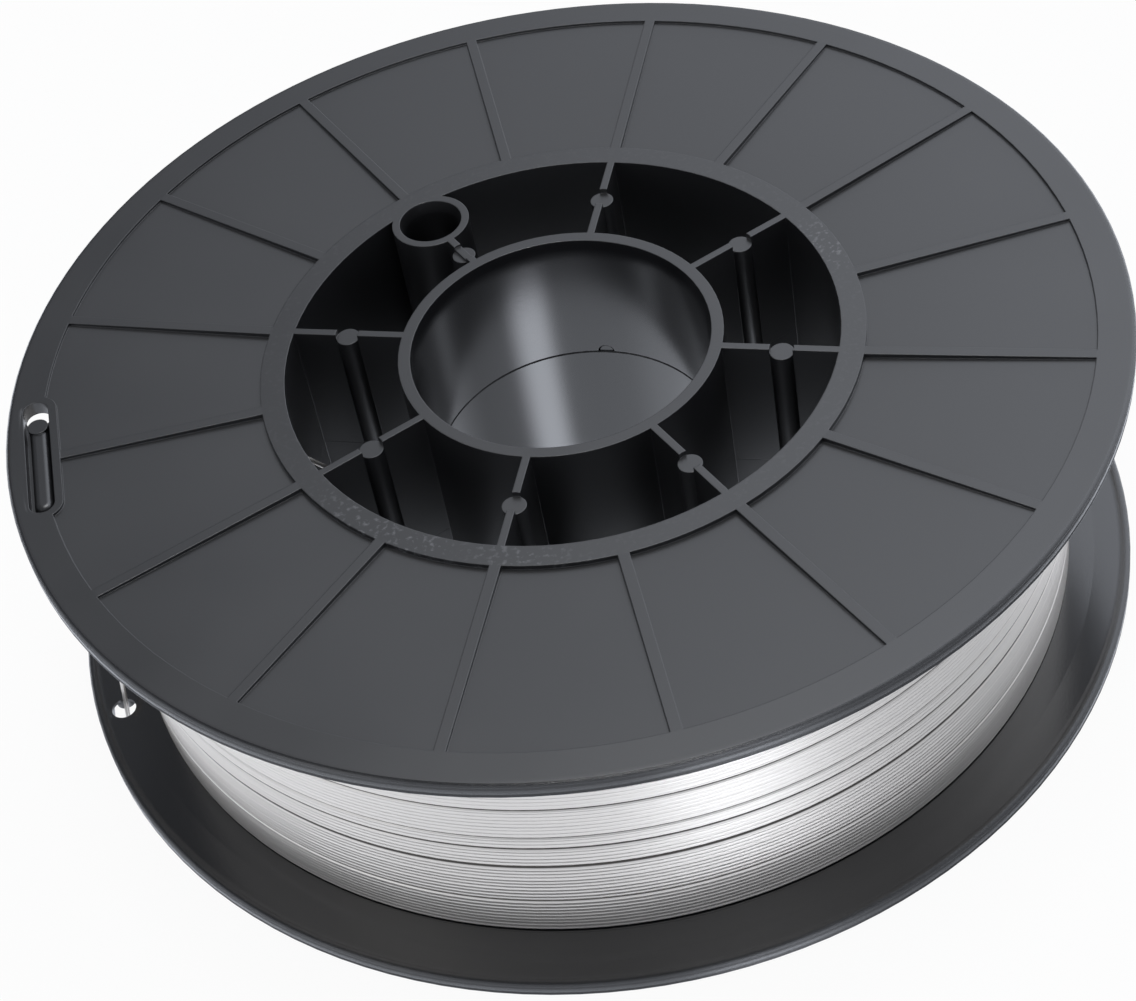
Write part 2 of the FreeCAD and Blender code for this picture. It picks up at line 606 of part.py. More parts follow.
# The wire
# It is one length of wire. Its turns make one solid ring between the flanges, with a cone at each
# end that follows the flange. The outer end goes through the wire hole of the lower flange, and the
# inner end shows in the hub, where it came through the barrel.
wire = new_body("Wire", "welding_wire")
wire.setExpression(".Placement.Base.z", "Sizes.rim_face")
ring = new_sketch(wire, "winding_section", "XZ_Plane")
outline(ring, [
    ("winding_bore_radius", "winding_low_corner_in_z"),
    ("winding_corner_in_r", "winding_low_end_in"),
    ("winding_corner_out_r", "winding_low_end_out"),
    ("winding_radius", "winding_low_corner_out_z"),
    ("winding_radius", "winding_corner_out_z"),
    ("winding_corner_out_r", "winding_end_out"),
    ("winding_corner_in_r", "winding_end_in"),
    ("winding_bore_radius", "winding_corner_in_z"),
])
revolve(wire, ring, "winding")
doc.recompute()


def wire_run(name, corners):
    """A path of two straights with a bend between them, from the wire's tip to its winding."""
    path = new_sketch(wire, name + "_path", "XZ_Plane")
    first, corner, last = [FreeCAD.Vector(size(a), size(b), 0) for a, b in corners]
    before = (first - corner).normalize()
    after = (last - corner).normalize()
    bend = size("wire_bend")
    half_angle = before.getAngle(after) / 2
    arc_start = corner + before * (bend / math.tan(half_angle))
    arc_end = corner + after * (bend / math.tan(half_angle))
    inward = (before + after).normalize()
    arc_middle = corner + inward * (bend / math.sin(half_angle) - bend)
    path.addGeometry(Part.LineSegment(first, arc_start), False)
    path.addGeometry(Part.Arc(arc_start, arc_middle, arc_end), False)
    path.addGeometry(Part.LineSegment(arc_end, last), False)
    path.addGeometry(Part.Point(corner), True)
    path.addConstraint(Sketcher.Constraint("Tangent", 0, 2, 1, path_end(path, arc_start)))
    path.addConstraint(Sketcher.Constraint("Tangent", 2, 1, 1, path_end(path, arc_end)))
    path.addConstraint(Sketcher.Constraint("PointOnObject", 3, 1, 0))
    path.addConstraint(Sketcher.Constraint("PointOnObject", 3, 1, 2))
    index = path.addConstraint(Sketcher.Constraint("Radius", 1, bend))
    path.setExpression("Constraints[%d]" % index, "Sizes.wire_bend")
    for geometry, point, pair in ((0, 1, corners[0]), (3, 1, corners[1]), (2, 2, corners[2])):
        set_distance(path, "DistanceX", geometry, point, pair[0])
        set_distance(path, "DistanceY", geometry, point, pair[1])
    return path


def path_end(path, point):
    """Which end of the bend, 1 or 2, lies at a point."""
    arc = path.Geometry[1]
    return 1 if arc.StartPoint.distanceToPoint(point) < 0.001 else 2


def sweep_wire(path, name):
    doc.recompute()
    section = wire.newObject("Sketcher::SketchObject", name + "_section")
    section.AttachmentSupport = [(path, "Edge1")]
    section.MapMode = "NormalToEdge"
    section.MapPathParameter = 0.0
    doc.recompute()
    round_outline(section, None, None, "wire_diameter")
    run = wire.newObject("PartDesign::AdditivePipe", name)
    run.Profile = section
    run.Spine = (path, ["Edge1", "Edge2", "Edge3"])
    wire.Tip = run
    doc.recompute()


# Outer end: it leaves the winding along a tangent, and is bent down through the wire hole
tail = wire_run("outer_end", [
    ("tail_to", "tail_end_z"),
    ("tail_corner", "tail_corner_z"),
    ("tail_from", "tail_start_z"),
])
face_outward(tail, "tail_angle", "tail_radius")
sweep_wire(tail, "outer_end")

# Inner end: through the hole in the barrel, then bent down
start = wire_run("inner_end", [
    ("start_to", "start_tip_z"),
    ("start_corner", "start_hole_height"),
    ("start_from", "start_hole_height"),
])
start.setExpression(".AttachmentOffset.Base.z", "Sizes.start_hole_side")
sweep_wire(start, "inner_end")


# Every feature is sound before anything is written
for item in doc.Objects:
    if "Invalid" in item.State or "Error" in item.State:
        raise RuntimeError("feature failed: " + item.Name)
parts = (upper, lower, wire)
for body in parts:
    if body.Shape.isNull() or not body.Shape.isValid():
        raise RuntimeError("bad shape: " + body.Label)

os.makedirs("parts", exist_ok=True)
for body in parts:
    body.Shape.exportStep("parts/%s.step" % body.Label)
    print("%s: %.1f cm3" % (body.Label, body.Shape.Volume / 1000))
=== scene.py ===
# %% [markdown]
# A spool of MIG welding wire
#
# The spool is two black plastic mouldings with about five kilograms of bright steel wire wound
# between them. It lies on one flange, seen from above. The two mouldings come from the CAD model as
# they are, and get their material here. The wire is modelled here in detail, because its turns are
# what a plain ring can't show.

# %% Load the frame
import math
import random
import bmesh
import bpy
from mathutils import Matrix, Vector


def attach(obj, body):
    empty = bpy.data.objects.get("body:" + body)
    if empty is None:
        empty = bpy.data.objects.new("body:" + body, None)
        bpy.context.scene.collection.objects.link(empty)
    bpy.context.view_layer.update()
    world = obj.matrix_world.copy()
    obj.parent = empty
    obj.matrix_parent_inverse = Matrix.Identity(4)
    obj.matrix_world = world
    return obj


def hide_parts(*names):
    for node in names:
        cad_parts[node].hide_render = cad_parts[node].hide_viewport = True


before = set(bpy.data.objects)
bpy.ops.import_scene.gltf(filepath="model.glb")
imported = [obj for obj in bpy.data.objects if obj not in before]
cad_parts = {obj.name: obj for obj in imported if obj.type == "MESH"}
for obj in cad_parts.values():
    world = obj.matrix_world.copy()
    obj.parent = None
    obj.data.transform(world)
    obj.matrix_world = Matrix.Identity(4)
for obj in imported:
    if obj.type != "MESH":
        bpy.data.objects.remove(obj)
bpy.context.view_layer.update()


MM = 0.001

# %% [markdown]
# Colours and nodes
#
# Colours are written as hex values, the way a colour picker shows them. Blender's shaders work in
# linear light, so one function converts them. A second small function adds a node. Each of its
# inputs takes a value or the output of another node, and the helpers after it give the result of
# the kinds of node that come up again and again, which keeps every material readable as a list.

# %% Colour and node helpers


def linear(hex_colour):
    """An sRGB hex colour as the linear colour that a shader takes."""
    channels = [int(hex_colour[i:i + 2], 16) / 255 for i in (1, 3, 5)]
    straight = [c / 12.92 if c <= 0.04045 else ((c + 0.055) / 1.055) ** 2.4 for c in channels]
    return (*straight, 1.0)


def add_node(tree, kind, inputs=None, **settings):
    """Add a node with its settings. Each input takes a value or another node's output."""
    node = tree.nodes.new(kind)
    for name, value in settings.items():
        setattr(node, name, value)
    for socket, source in (inputs or {}).items():
        if isinstance(source, bpy.types.NodeSocket):
            tree.links.new(source, node.inputs[socket])
        else:
            node.inputs[socket].default_value = source
    return node


def calculate(tree, operation, *terms):
    """The result of one sum over numbers and outputs."""
    return add_node(tree, "ShaderNodeMath", dict(enumerate(terms)),
                    operation=operation).outputs["Value"]


def mix(tree, factor, first, second, kind="FLOAT"):
    """One value or colour that goes over into another as the factor rises."""
    return add_node(tree, "ShaderNodeMix", {"Factor": factor, "A": first, "B": second},
                    data_type=kind).outputs["Result"]


def remap(tree, value, old, new=(0.0, 1.0), kind="LINEAR"):
    """One range of values carried over to another."""
    ends = {"From Min": old[0], "From Max": old[1], "To Min": new[0], "To Max": new[1]}
    return add_node(tree, "ShaderNodeMapRange", {"Value": value, **ends},
                    interpolation_type=kind).outputs["Result"]


def noise(tree, place, size_mm, detail):
    """A noise whose features are about this many millimetres wide."""
    return add_node(tree, "ShaderNodeTexNoise",
                    {"Vector": place, "Scale": 1000.0 / size_mm, "Detail": detail}).outputs["Fac"]


def from_axis(tree, place):
    """The distance of a place from the spool's axis."""
    flat = add_node(tree, "ShaderNodeVectorMath", {0: place, 1: (1.0, 1.0, 0.0)},
                    operation="MULTIPLY")
    return add_node(tree, "ShaderNodeVectorMath", {0: flat.outputs["Vector"]},
                    operation="LENGTH").outputs["Value"]


def round_the_axis(tree, axes):
    """The compass direction from +X towards +Y, as a share of a full turn."""
    angle = calculate(tree, "ARCTAN2", axes.outputs["Y"], axes.outputs["X"])
    return calculate(tree, "FLOORED_MODULO", calculate(tree, "DIVIDE", angle, 2 * math.pi), 1.0)


def by_direction(tree, turned, stops, top=1.0):
    """A value that goes by compass direction, from stops in degrees and up to a top value."""
    ramp = add_node(tree, "ShaderNodeValToRGB", {"Fac": turned})
    elements = ramp.color_ramp.elements
    for degrees, value in stops[1:-1]:
        elements.new(degrees / 360)
    for element, (degrees, value) in zip(elements, stops):
        element.color = (*[value / top] * 3, 1.0)
    return calculate(tree, "MULTIPLY", ramp.outputs["Color"], top)


def new_material(name):
    """An empty node material with its output, ready for a shader."""
    material = bpy.data.materials.new(name)
    material.use_nodes = True
    tree = material.node_tree
    tree.nodes.clear()
    return material, tree, add_node(tree, "ShaderNodeOutputMaterial")


# %% [markdown]
# Moulded polystyrene
#
# Wire spools are injection moulded from high-impact polystyrene coloured with carbon black. The
# steel mould was spark eroded, which leaves a fine even grain and a satin sheen. The bore and the
# wire sides come off polished steel. The plastic is soft, so knocks leave pale scuffs on the hub
# ring, in the few places where they fall.

# %% Sizes and colours of the plastic
PLASTIC = "#121214"
SCUFFED_PLASTIC = "#6e6e70"
SATIN = (0.34, 0.40)
POLISHED = 0.2
# Distances from the axis
BORE_MOUTH = 27.02 * MM
RING_MIDDLE = 52.0 * MM
RING_HALF_WIDTH = 2.2 * MM
BARREL_OUTSIDE = 52 * MM
RIM_ROUND_FROM = 97.5 * MM
RIM_EDGE = 99.3 * MM
# The joint between the halves lies at the middle, and these heights are measured from there
MIDDLE = 28.5 * MM
LEAD_IN_START = 24.0 * MM
LEAD_IN_SOFT = 1.5 * MM
WIRE_SIDE = 25.9 * MM
# How far the shading rounds an edge
EDGE_ROUND = 0.22 * MM
RIM_ROUND = 1.2 * MM
LEAD_IN_ROUND = 3.0 * MM
# How scuffed the hub ring is, by direction in degrees from +X towards +Y
SCUFFED = [(0, 0.1), (6, 0.8), (14, 0.7), (20, 0.1), (205, 0.1), (216, 0.7), (233, 0.8),
           (240, 0.2), (247, 0.5), (254, 0.6), (262, 0.1), (360, 0.1)]

# %% Black polystyrene


def scuffed_colour(tree, place, axes, reach):
    """Black, with pale scuffs of about a millimetre on the hub ring."""
    on_ring = calculate(tree, "COMPARE", reach, RING_MIDDLE, RING_HALF_WIDTH)
    worn = by_direction(tree, round_the_axis(tree, axes), SCUFFED)
    marks = remap(tree, noise(tree, place, 0.9, 5.0), (0.54, 0.70))
    scuff = calculate(tree, "MULTIPLY", calculate(tree, "MULTIPLY", worn, marks), on_ring)
    return mix(tree, scuff, linear(PLASTIC), linear(SCUFFED_PLASTIC), "RGBA")


def rounded_edges(tree, reach, height, in_bore):
    """A real mould has no sharp corner. The shading rounds each edge a little, the rim by a
    millimetre, and it turns the start of the bore's lead-in into a soft curve."""
    near_rim = calculate(tree, "GREATER_THAN", reach, RIM_ROUND_FROM)
    at_lead_in = calculate(tree, "MULTIPLY", in_bore,
                           calculate(tree, "COMPARE", height, LEAD_IN_START, LEAD_IN_SOFT))
    radius = mix(tree, at_lead_in, mix(tree, near_rim, EDGE_ROUND, RIM_ROUND), LEAD_IN_ROUND)
    return add_node(tree, "ShaderNodeBevel", {"Radius": radius}, samples=6).outputs["Normal"]


def moulded_polystyrene():
    material, tree, output = new_material("moulded_black_polystyrene")
    place = add_node(tree, "ShaderNodeTexCoord").outputs["Object"]
    axes = add_node(tree, "ShaderNodeSeparateXYZ", {"Vector": place})
    reach = from_axis(tree, place)
    height = calculate(tree, "ABSOLUTE", calculate(tree, "SUBTRACT", axes.outputs["Z"], MIDDLE))
    # Slow changes in sheen from the way the plastic flowed and cooled, about 30 mm across
    sheen = remap(tree, noise(tree, place, 30, 3.0), (0.3, 0.7), SATIN)
    # The bore is formed by a polished core. The rim's edge and the wire sides are smooth as well.
    in_bore = calculate(tree, "LESS_THAN", reach, BORE_MOUTH)
    at_edge = calculate(tree, "GREATER_THAN", reach, RIM_EDGE)
    wire_side = calculate(tree, "MULTIPLY", calculate(tree, "LESS_THAN", height, WIRE_SIDE),
                          calculate(tree, "GREATER_THAN", reach, BARREL_OUTSIDE))
    smooth = calculate(tree, "MAXIMUM", calculate(tree, "MAXIMUM", in_bore, at_edge), wire_side)
    # Grain of the eroded mould: about 0.5 mm, drawn coarser than life so that it shows
    grain = add_node(tree, "ShaderNodeBump",
                     {"Strength": 0.10, "Distance": 0.05 * MM,
                      "Height": noise(tree, place, 0.5, 2.0),
                      "Normal": rounded_edges(tree, reach, height, in_bore)})
    shader = add_node(tree, "ShaderNodeBsdfPrincipled",
                      {"Base Color": scuffed_colour(tree, place, axes, reach),
                       "Roughness": mix(tree, smooth, sheen, POLISHED),
                       "IOR": 1.59, "Specular IOR Level": 1.0,
                       "Normal": grain.outputs["Normal"]})
    tree.links.new(shader.outputs["BSDF"], output.inputs["Surface"])
    return material


black_plastic = moulded_polystyrene()
for name in ("upper_spool_half", "lower_spool_half"):
    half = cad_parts[name]
    for slot in half.material_slots:
        slot.material = black_plastic
    print(name, "faces", len(half.data.polygons), "slots", len(half.material_slots))

# %% [markdown]
# Drawn steel
#
# Welding wire is pulled cold through smaller and smaller dies. That leaves it bright, with a mirror
# broken up only by fine lines along its length. A thin film of drawing soap scatters part of the
# light. Where the surface lies deeper than the crowns, in the wider gaps and on the winding's ends
# beside the flanges, the colour is painted darker and a little warmer: this is painted shade.

# %% Bright drawn steel
WINDING_RADIUS = 88.9 * MM
WIRE = 0.9 * MM
STEEL_COLOUR = "#f4efe8"
# Painted shade: the darker, warmer colour given to the steel deeper than the last layer's crowns
GAP_SHADE_COLOUR = "#55514d"
FILMED_METAL = 0.85
# The painted shade is full below the first distance from the axis and gone above the second
FULL_SHADE_LEVEL = WINDING_RADIUS - 0.42 * WIRE
UNSHADED_LEVEL = WINDING_RADIUS - 0.25 * WIRE


def drawn_steel(name, gap_shade_colour):
    material, tree, output = new_material(name)
    place = add_node(tree, "ShaderNodeTexCoord").outputs["Object"]
    # Painted shade: the colour goes darker where the surface lies deeper than the crowns, in the
    # wide gaps and on the winding's ends
    unshaded = remap(tree, from_axis(tree, place), (FULL_SHADE_LEVEL, UNSHADED_LEVEL))
    # Sheen changes slowly along the wire, about 25 mm long and one turn high
    along = add_node(tree, "ShaderNodeMapping", {"Vector": place, "Scale": (1.0, 1.0, 20.0)})
    drift = noise(tree, along.outputs["Vector"], 25, 3.0)
    shader = add_node(tree, "ShaderNodeBsdfPrincipled",
                      {"Base Color": mix(tree, unshaded, linear(gap_shade_colour), linear(STEEL_COLOUR),
                                         "RGBA"),
                       "Metallic": FILMED_METAL,
                       "Roughness": remap(tree, drift, (0.3, 0.7), (0.36, 0.44))})
    tree.links.new(shader.outputs["BSDF"], output.inputs["Surface"])
    return material


steel = drawn_steel("bright_drawn_steel", GAP_SHADE_COLOUR)
# The two free ends get none of the painted shade, so they are bright all round
end_steel = drawn_steel("bright_wire_ends", STEEL_COLOUR)
print("steel nodes", len(steel.node_tree.nodes))

# %% [markdown]
# The wound wire
#
# A full spool holds hundreds of turns in layers. Only the outermost turns and the ends of the
# layers can be seen, so the winding is one turned solid: a half section with a round crown for each
# turn, spun once round the axis. Its height is not a whole number of wires, so the last layer has
# five wider gaps, which show as dark lines by their depth and by painted shade.

# %% Sizes of the winding
BARREL_RADIUS = 52.85 * MM
HALF_AT_BARREL = 24.7 * MM
HALF_AT_OUTSIDE = 25.58 * MM
OUTER_TURNS = 55
# The wider gaps: height in mm, and how large each one is beside the others
WIDE_GAPS = {35.4: 0.22, 27.9: 0.10, 24.65: 0.40, 20.0: 0.62, 10.15: 0.26}
# Where two centres lie further apart than this, the section goes down between them
OPEN_GAP = 1.09 * WIRE
GAP_DEPTH = 0.3 * MM
# Half the angle of a crown on the last layer, and on the ends, where the layers' edges show
HALF_CROWN = math.radians(32)
HALF_END_CROWN = math.radians(70)
SPIN_STEPS = 150
TURN_STEPS = 5
END_STEPS = 2
STRAY_MM = 0.07
# Vertices closer than this are one
WELD = 0.001 * MM


def outer_turn_heights():
    """Heights of the turns in the last layer, from the bottom up, with the wider gaps."""
    room = 2 * HALF_AT_OUTSIDE
    spare = room - OUTER_TURNS * WIRE
    total = sum(WIDE_GAPS.values())
    height = MIDDLE - HALF_AT_OUTSIDE + WIRE / 2
    heights = []
    waiting = sorted(WIDE_GAPS)
    for _ in range(OUTER_TURNS):
        heights.append(height)
        height += WIRE
        if waiting and height - WIRE / 2 > waiting[0] * MM:
            height += spare * WIDE_GAPS[waiting.pop(0)] / total
    return heights


heights = outer_turn_heights()
print("turns in the last layer", len(heights), "top at mm", round(heights[-1] / MM, 2))

# %% [markdown]
# The half section is drawn like a pen line: a point is extruded to where a turn begins, and spun
# round the turn's centre to make its crown. Real turns never lie quite level, so each centre moves
# in by a few hundredths of a millimetre.

# %% Spin the winding


def draw_to(bm, pen, point):
    """Extrude the pen's vertex to a point, and give the new vertex."""
    made = bmesh.ops.extrude_vert_indiv(bm, verts=[pen])["verts"][0]
    made.co = point
    return made


def draw_crown(bm, pen, centre, angle, steps):
    """Spin the pen's vertex round a turn's centre, in the section plane."""
    made = bmesh.ops.spin(bm, geom=[pen], cent=centre, axis=(0, 1, 0), angle=angle,
                          steps=steps, use_duplicate=False)
    return [item for item in made["geom_last"] if isinstance(item, bmesh.types.BMVert)][0]


def crown_start(centre, facing, half):
    """Where a crown begins: the turn's surface, half a crown before the way that it faces."""
    turn = facing - half
    return centre + Vector((math.cos(turn), 0, math.sin(turn))) * (WIRE / 2)


def add_turns(bm, pen, centres, facing, half, steps):
    """Crowns round a row of turns. The section runs anticlockwise, so each turns the same way."""
    inward = Vector((-math.cos(facing), 0, -math.sin(facing)))
    for before, centre in zip([centres[0]] + centres[:-1], centres):
        if (centre - before).length > OPEN_GAP:
            pen = draw_to(bm, pen, (before + centre) / 2 + inward * GAP_DEPTH)
        pen = draw_to(bm, pen, crown_start(centre, facing, half))
        pen = draw_crown(bm, pen, centre, -2 * half, steps)
    return pen


def wound_wire():
    """The half section of all the layers, spun into one turned solid."""
    chance = random.Random(11)
    slope = (HALF_AT_OUTSIDE - HALF_AT_BARREL) / (WINDING_RADIUS - BARREL_RADIUS)
    layers = int((WINDING_RADIUS - BARREL_RADIUS) / WIRE) - 1
    outer = [Vector((WINDING_RADIUS - WIRE / 2 - chance.uniform(0, STRAY_MM) * MM, 0, height))
             for height in heights]
    reaches = [WINDING_RADIUS - (layer + 1.5) * WIRE for layer in range(layers)]
    top = [Vector((reach, 0, MIDDLE + HALF_AT_BARREL + (reach - BARREL_RADIUS) * slope - WIRE / 2))
           for reach in reaches]
    low = [Vector((centre.x, 0, 2 * MIDDLE - centre.z)) for centre in reversed(top)]
    bm = bmesh.new()
    first = bm.verts.new((BARREL_RADIUS, 0, low[0].z - WIRE / 2))
    pen = add_turns(bm, first, low, -math.pi / 2, HALF_END_CROWN, END_STEPS)
    pen = add_turns(bm, pen, outer, 0.0, HALF_CROWN, TURN_STEPS)
    pen = add_turns(bm, pen, top, math.pi / 2, HALF_END_CROWN, END_STEPS)
    pen = draw_to(bm, pen, Vector((BARREL_RADIUS, 0, top[-1].z + WIRE / 2)))
    bm.edges.new((pen, first))
    section = bm.verts[:] + bm.edges[:]
    bmesh.ops.spin(bm, geom=section, cent=(0, 0, 0), axis=(0, 0, 1), angle=2 * math.pi,
                   steps=SPIN_STEPS, use_merge=True, use_duplicate=False)
    bmesh.ops.remove_doubles(bm, verts=bm.verts[:], dist=WELD)
    bmesh.ops.recalc_face_normals(bm, faces=bm.faces[:])
    return bm


def finished(bm, name, material, replaced):
    """A bmesh as a smooth object that rides on the spool and stands for a CAD node."""
    mesh = bpy.data.meshes.new(name)
    bm.to_mesh(mesh)
    open_edges = sum(1 for edge in bm.edges if len(edge.link_faces) != 2)
    bm.free()
    mesh.polygons.foreach_set("use_smooth", [True] * len(mesh.polygons))
    mesh.materials.append(material)
    piece = bpy.data.objects.new(name, mesh)
    bpy.context.scene.collection.objects.link(piece)
    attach(piece, "root")
    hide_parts(replaced)
    triangles = sum(len(face.vertices) - 2 for face in mesh.polygons)
    print(name, "triangles", triangles, "open edges", open_edges)
    return piece


winding = finished(wound_wire(), "wound_wire", steel, "welding_wire")

# %% [markdown]
# The two ends of the wire
#
# The outer end leaves the winding on a tangent, and its tip dips into the round wire hole of the
# lower flange. The inner end came through a small hole in the barrel, and its bent tip keeps it
# there. Each is a circle extruded along its first straight, spun round the bend, and extruded
# again.

# %% Wire ends
WIRE_SIDES = 16
BEND_RADIUS = 1.5 * MM
BEND_STEPS = 6


def bent_wire(start, corner, end):
    """A round wire in the XZ plane with one bend."""
    before = (corner - start).normalized()
    after = (end - corner).normalized()
    turn = before.angle(after)
    setback = BEND_RADIUS * math.tan(turn / 2)
    axis = before.cross(after).normalized()
    centre = corner - before * setback + axis.cross(before) * BEND_RADIUS
    bm = bmesh.new()
    facing = before.to_track_quat("Z", "Y").to_matrix().to_4x4()
    ring = bmesh.ops.create_circle(bm, cap_ends=True, segments=WIRE_SIDES, radius=WIRE / 2,
                                   matrix=Matrix.Translation(start) @ facing)
    cap = ring["verts"][0].link_faces[0]

    def extend(cap, distance):
        """Pull the end of the wire straight out."""
        made = bmesh.ops.extrude_face_region(bm, geom=[cap], use_keep_orig=False)["geom"]
        bmesh.ops.delete(bm, geom=[cap], context="FACES_ONLY")
        moved = [item for item in made if isinstance(item, bmesh.types.BMVert)]
        bmesh.ops.translate(bm, verts=moved, vec=distance)
        return [item for item in made if isinstance(item, bmesh.types.BMFace)][0]

    first = extend(cap, before * ((corner - start).length - setback))
    bent = bmesh.ops.spin(bm, geom=[first], cent=centre, axis=axis, angle=turn,
                          steps=BEND_STEPS, use_duplicate=False)
    second = [item for item in bent["geom_last"] if isinstance(item, bmesh.types.BMFace)][0]
    extend(second, after * ((end - corner).length - setback))
    bmesh.ops.remove_doubles(bm, verts=bm.verts[:], dist=WELD)
    bmesh.ops.recalc_face_normals(bm, faces=bm.faces[:])
    return bm


# %% Both ends in place
# Each end is given by its start, its corner and its tip, in mm along the wire and in height
TAIL = ((-2.0, 0, 12.0), (29.54, 0, 8.1), (33.24, 0, 0.6))
TAIL_AZIMUTH = math.radians(167.52)
TAIL_REACH = 88.75 * MM
HOOK = ((-54.85, 0, 50.2), (-49.15, 0, 50.2), (-45.1, 0, 45.6))
HOOK_SIDE = -7.6 * MM

tail = bent_wire(*[Vector(point) * MM for point in TAIL])
outward = Vector((math.cos(TAIL_AZIMUTH), math.sin(TAIL_AZIMUTH), 0))
bmesh.ops.transform(tail, verts=tail.verts[:],
                    matrix=Matrix.Translation(outward * TAIL_REACH)
                    @ Matrix.Rotation(TAIL_AZIMUTH + math.pi / 2, 4, "Z"))
outer_end = finished(tail, "outer_wire_end", end_steel, "welding_wire")

hook = bent_wire(*[Vector(point) * MM for point in HOOK])
bmesh.ops.translate(hook, verts=hook.verts[:], vec=(0, HOOK_SIDE, 0))
inner_end = finished(hook, "inner_wire_end", end_steel, "welding_wire")

# %% [markdown]
# Floor, light and background
#
# A product picture of this kind is taken on a white table. A black satin spool shows its shape only
# by what it reflects, so the room itself is the main light. It is white to the camera. To the spool
# it is uneven, as a studio is: bright on one side, dark between the lamps, with a white sweep below
# the table's edge and one narrow strip light low in front. Two weak lamps add their soft shadows.

# %% Floor
FLOOR_GLOW = 0.95
FLOOR_REACH = 3.0


def largest(tree, first, *others):
    """The largest of several outputs."""
    for other in others:
        first = calculate(tree, "MAXIMUM", first, other)
    return first


def white_floor():
    material, tree, output = new_material("white_card_floor")
    place = add_node(tree, "ShaderNodeTexCoord").outputs["Object"]
    # Paper fibre, about 4 mm, only just visible
    colour = mix(tree, noise(tree, place, 4, 2.0), linear("#f0f0f0"), linear("#f6f6f6"), "RGBA")
    card = add_node(tree, "ShaderNodeBsdfDiffuse", {"Color": colour})
    glow = add_node(tree, "ShaderNodeEmission", {"Strength": 1.0})
    ray = add_node(tree, "ShaderNodeLightPath").outputs
    seen = largest(tree, ray["Is Camera Ray"], ray["Is Transmission Ray"], ray["Is Glossy Ray"])
    mixed = add_node(tree, "ShaderNodeMixShader",
                     {0: calculate(tree, "MULTIPLY", seen, FLOOR_GLOW),
                      1: card.outputs["BSDF"], 2: glow.outputs["Emission"]})
    tree.links.new(mixed.outputs["Shader"], output.inputs["Surface"])
    return material


def floor_sheet(reach):
    bm = bmesh.new()
    bmesh.ops.create_grid(bm, x_segments=1, y_segments=1, size=reach)
    mesh = bpy.data.meshes.new("floor")
    bm.to_mesh(mesh)
    bm.free()
    mesh.materials.append(white_floor())
    sheet = bpy.data.objects.new("floor", mesh)
    bpy.context.scene.collection.objects.link(sheet)
    # The spool reflects the sweep below the table's edge and not the table
    sheet.visible_glossy = False
    return sheet


floor = floor_sheet(FLOOR_REACH)
print("floor reaches", floor.dimensions.x, "m across")

# %% [markdown]
# The room is three bands round the compass, one above the other, and a strip light in the lowest.
# Directions are in degrees from +X towards +Y. Heights are the Z of the direction: -1 is straight
# down, 0 is level and 1 is straight up.

# %% How bright the room is
UPPER = [(0, 1.20), (20, 1.60), (60, 1.50), (74, 1.25), (87, 0.74), (101, 0.20), (150, 0.18),
         (300, 0.18), (335, 0.20), (348, 0.60), (360, 1.20)]
WALLS = [(0, 0.80), (20, 1.20), (60, 1.20), (74, 1.05), (87, 0.50), (101, 0.20), (150, 0.30),
         (165, 0.72), (225, 0.75), (240, 0.72), (255, 0.62), (266, 0.75), (275, 1.50),
         (291, 1.50), (300, 0.65), (308, 0.55), (320, 0.45), (335, 0.40), (350, 0.60),
         (360, 0.80)]
SWEEP = [(0, 0.70), (20, 0.90), (40, 1.50), (120, 1.50), (148, 1.10), (190, 1.10), (214, 0.90),
         (240, 0.88), (262, 0.90), (308, 0.72), (333, 0.60), (342, 0.55), (360, 0.70)]
BRIGHTEST = 1.6
SWEEP_TO_WALLS = (-0.15, 0.1)
WALLS_TO_UPPER = (0.4, 0.65)
# Each side of the strip light, from where there is none of it to where it is full
STRIP_START = (264 / 360, 281 / 360)
STRIP_END = (311 / 360, 289 / 360)
STRIP_BOTTOM = (-0.92, -0.86)
STRIP_TOP = (-0.50, -0.60)
STRIP_BRIGHT = 3.4
ROOM_COLOUR = "#f0f5ff"

# %% Room


def soft_step(tree, value, ends):
    """Zero at one value and one at the other, with a soft change between them."""
    return remap(tree, value, ends, kind="SMOOTHSTEP")


def studio_room():
    """White where the camera looks. The spool sees walls that are not lit equally all round."""
    world = bpy.data.worlds.new("studio_room")
    world.use_nodes = True
    tree = world.node_tree
    tree.nodes.clear()
    direction = add_node(tree, "ShaderNodeTexCoord").outputs["Generated"]
    axes = add_node(tree, "ShaderNodeSeparateXYZ", {"Vector": direction})
    turned = round_the_axis(tree, axes)
    height = axes.outputs["Z"]
    upper, walls, sweep = [by_direction(tree, turned, stops, BRIGHTEST)
                           for stops in (UPPER, WALLS, SWEEP)]
    on_spool = mix(tree, soft_step(tree, height, SWEEP_TO_WALLS), sweep, walls)
    on_spool = mix(tree, soft_step(tree, height, WALLS_TO_UPPER), on_spool, upper)
    strip = soft_step(tree, turned, STRIP_START)
    for value, ends in ((turned, STRIP_END), (height, STRIP_BOTTOM), (height, STRIP_TOP)):
        strip = calculate(tree, "MULTIPLY", strip, soft_step(tree, value, ends))
    on_spool = mix(tree, strip, on_spool, STRIP_BRIGHT)
    ray = add_node(tree, "ShaderNodeLightPath").outputs
    seen = largest(tree, ray["Is Camera Ray"], ray["Is Transmission Ray"])
    light = add_node(tree, "ShaderNodeBackground",
                     {"Color": mix(tree, seen, linear(ROOM_COLOUR), linear("#ffffff"), "RGBA"),
                      "Strength": mix(tree, seen, on_spool, 1.0)})
    add_node(tree, "ShaderNodeOutputWorld", {"Surface": light.outputs["Background"]})
    bpy.context.scene.world = world


studio_room()
print("room nodes", len(bpy.context.scene.world.node_tree.nodes))

# %% Lamps
AIM = Vector((0, 0, 0.03))


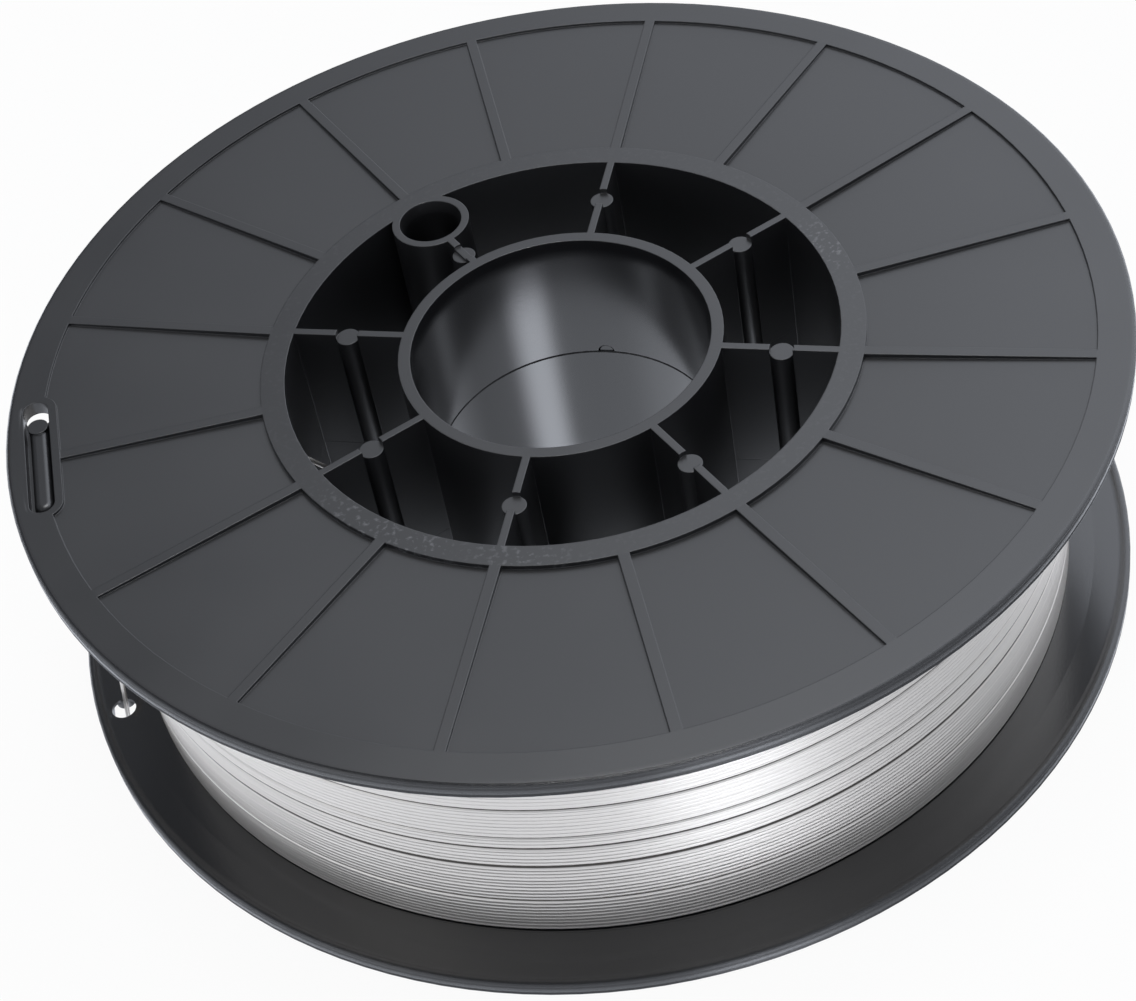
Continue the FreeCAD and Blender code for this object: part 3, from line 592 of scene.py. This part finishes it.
def soft_lamp(name, place, width, height, power):
    """A rectangular lamp that faces the spool."""
    lamp = bpy.data.lights.new(name, "AREA")
    lamp.shape = "RECTANGLE"
    lamp.size = width
    lamp.size_y = height
    lamp.energy = power
    holder = bpy.data.objects.new(name, lamp)
    holder.location = place
    holder.rotation_euler = (AIM - Vector(place)).to_track_quat("-Z", "Y").to_euler()
    bpy.context.scene.collection.objects.link(holder)
    return holder


soft_lamp("overhead_softbox", (0.0, 0.12, 0.9), width=0.2, height=0.2, power=1.5)
soft_lamp("left_window", (-0.8, -0.5, 0.45), width=0.35, height=0.5, power=0.3)

# %% [markdown]
# Camera
#
# The camera stands about half a metre from the spool, 45 degrees above the floor, and leans over
# to one side, as a hand-held picture does. Its place was found from the outlines of the two flanges
# and of the bore.

# %% Camera
AZIMUTH = math.radians(-3.25)
ELEVATION = math.radians(45.271)
ROLL = math.radians(-11.176)
DISTANCE = 492.082 * MM
SIDE_STEP = -6.036 * MM
UP_STEP = 9.460 * MM
FOCAL_PIXELS = 2552.056
PICTURE_WIDTH = 1136
SENSOR_MM = 36.0
LOOKED_AT = Vector((0, 0, 1 * MM))


def photo_camera():
    back = Vector((math.sin(AZIMUTH) * math.cos(ELEVATION),
                   -math.cos(AZIMUTH) * math.cos(ELEVATION), math.sin(ELEVATION)))
    right = Vector((math.cos(AZIMUTH), math.sin(AZIMUTH), 0))
    up = back.cross(right)
    lean_right = right * math.cos(ROLL) + up * math.sin(ROLL)
    lean_up = up * math.cos(ROLL) - right * math.sin(ROLL)
    place = LOOKED_AT + lean_right * SIDE_STEP + lean_up * UP_STEP + back * DISTANCE
    lens = bpy.data.cameras.new("photo_camera")
    lens.sensor_width = SENSOR_MM
    lens.lens = FOCAL_PIXELS / PICTURE_WIDTH * SENSOR_MM
    lens.clip_start = 0.01
    camera = bpy.data.objects.new("photo_camera", lens)
    turn = Matrix((lean_right, lean_up, back)).transposed()
    camera.matrix_world = Matrix.Translation(place) @ turn.to_4x4()
    bpy.context.scene.collection.objects.link(camera)
    bpy.context.scene.camera = camera
    return camera


camera = photo_camera()
bpy.context.scene.view_settings.view_transform = "Standard"
print("lens mm", round(camera.data.lens, 2))
